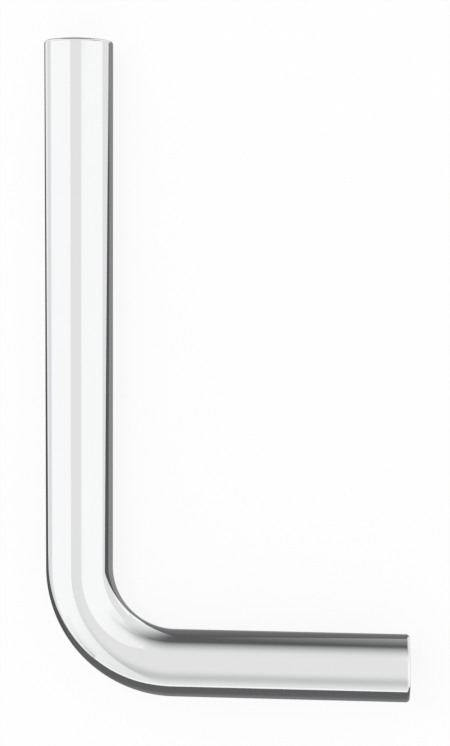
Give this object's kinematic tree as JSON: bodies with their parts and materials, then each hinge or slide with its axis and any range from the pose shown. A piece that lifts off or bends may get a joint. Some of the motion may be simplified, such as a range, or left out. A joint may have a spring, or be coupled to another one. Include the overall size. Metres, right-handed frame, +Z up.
{
  "type": "trap bend pipe",
  "caption": "Chrome-plated waste tube drawn round a right angle, with a long and a short plain leg, that carries waste water from a basin trap towards the wall.",
  "frame": {"origin": "on the surface the pipe lies on, under the middle of its outline", "axes": "+Z up, away from that surface; +Y along the long leg, out of its mouth; +X along the short leg, out of its mouth"},
  "size_m": [0.1745, 0.311, 0.032],
  "materials": {
    "chrome_plate": "mirror-bright chrome plate on drawn brass tube"
  },
  "bodies": {
    "root": {"bend_pipe": "chrome_plate"}
  },
  "joints": []
}
